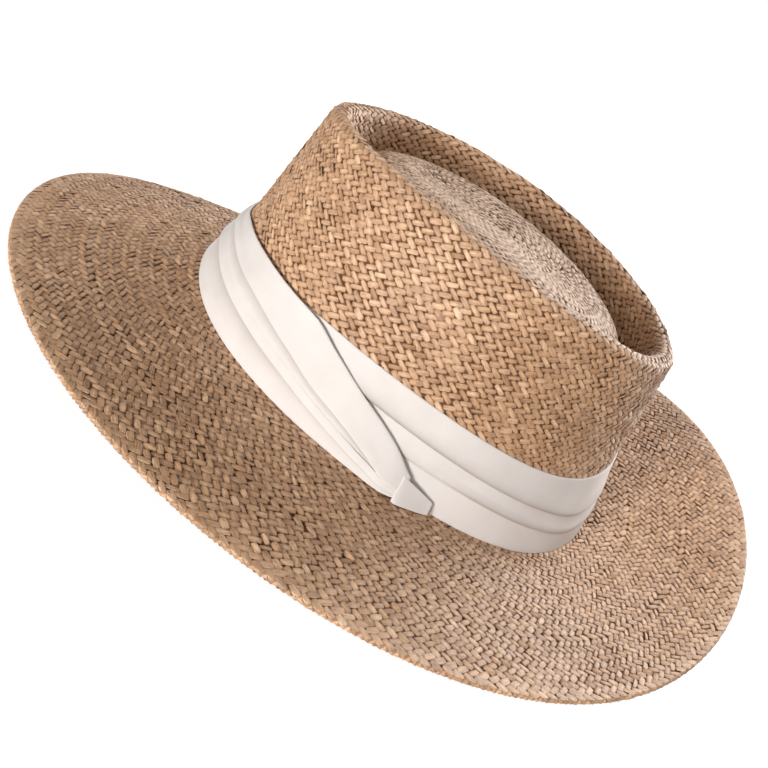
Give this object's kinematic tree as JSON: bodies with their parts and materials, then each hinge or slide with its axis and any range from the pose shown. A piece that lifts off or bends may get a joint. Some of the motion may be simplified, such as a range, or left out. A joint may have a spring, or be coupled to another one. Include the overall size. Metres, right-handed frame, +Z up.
{
  "type": "wide-brim straw hat",
  "caption": "Wide-brim straw hat with a dished oval crown, a waved brim and a pleated ribbon wrapped over itself to a folded end",
  "frame": {"origin": "bottom centre of the bounding box, on the surface that the brim rests on", "axes": "+Z up, -Y to the hat's front, +X to the wearer's left, where the ribbon ends"},
  "size_m": [0.3327, 0.3516, 0.1125],
  "materials": {
    "crown_straw": "woven natural straw, herringbone weave, dull with small shiny flecks",
    "brim_straw": "woven natural straw, herringbone weave in rings, dull with small shiny flecks",
    "ribbon_cloth": "off-white cotton ribbon, matt, fine plain weave, pleated"
  },
  "bodies": {
    "root": {"crown": "crown_straw", "brim": "brim_straw", "ribbon": "ribbon_cloth", "ribbon_tail": "ribbon_cloth"}
  },
  "joints": []
}
